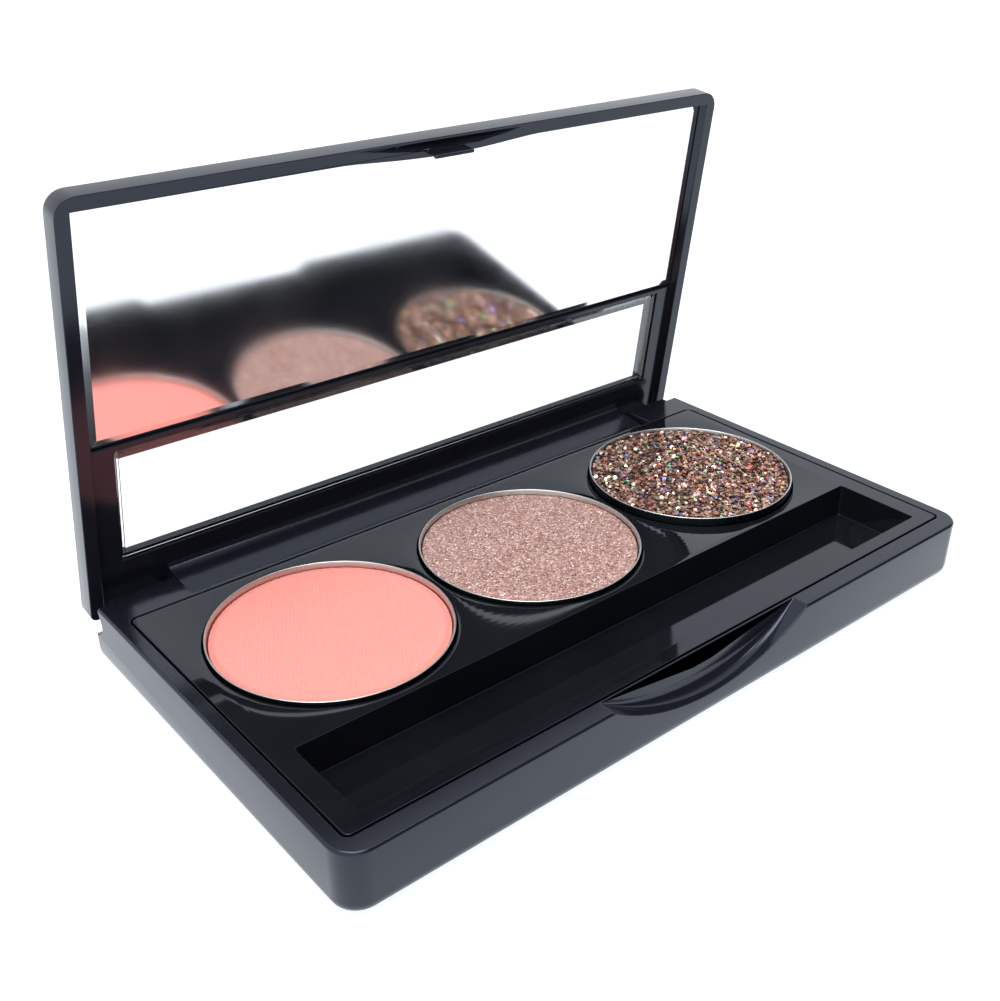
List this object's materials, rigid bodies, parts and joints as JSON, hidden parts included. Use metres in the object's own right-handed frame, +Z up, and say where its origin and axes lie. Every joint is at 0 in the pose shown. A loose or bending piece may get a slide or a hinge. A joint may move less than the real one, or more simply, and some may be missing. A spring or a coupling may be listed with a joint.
{
  "type": "eyeshadow palette",
  "caption": "Hinged black compact with round powder pans, a long brush well, a mirror in the lid and a see-through window.",
  "frame": {"origin": "middle of the flat underside of the base", "axes": "+X along the palette to the right, +Y from the thumb notch to the hinge, +Z up"},
  "size_m": [0.089, 0.0536, 0.0529],
  "materials": {
    "satin_black": "satin moulded",
    "gloss_black": "gloss moulded",
    "pan_metal": "bright pressed sheet",
    "coral_powder": "ribbed pressed powder",
    "rose_powder": "fine shimmer pressed powder",
    "copper_glitter": "coarse glitter",
    "foam": "adhesive foam",
    "pin_steel": "drawn",
    "mirror": "silvered",
    "clear": "clear"
  },
  "bodies": {
    "base": {"base_shell": "satin_black", "tray_insert": "gloss_black", "pan_coral": "pan_metal", "pan_rose": "pan_metal", "pan_glitter": "pan_metal", "powder_coral": "coral_powder", "powder_rose": "rose_powder", "cake_glitter": "copper_glitter", "glue_pad_coral": "foam", "glue_pad_rose": "foam", "glue_pad_glitter": "foam", "hinge_pin_left": "pin_steel", "hinge_pin_right": "pin_steel"},
    "lid": {"lid_frame": "satin_black", "mirror_glass": "mirror", "mirror_adhesive": "foam", "window_pane": "clear"}
  },
  "joints": [
    {"name": "lid_hinge", "type": "hinge", "parent": "base", "child": "lid", "pos_m": [0, 0.0229, 0.0048], "axis": [1, 0, 0], "range_deg": [-26, 82]}
  ]
}
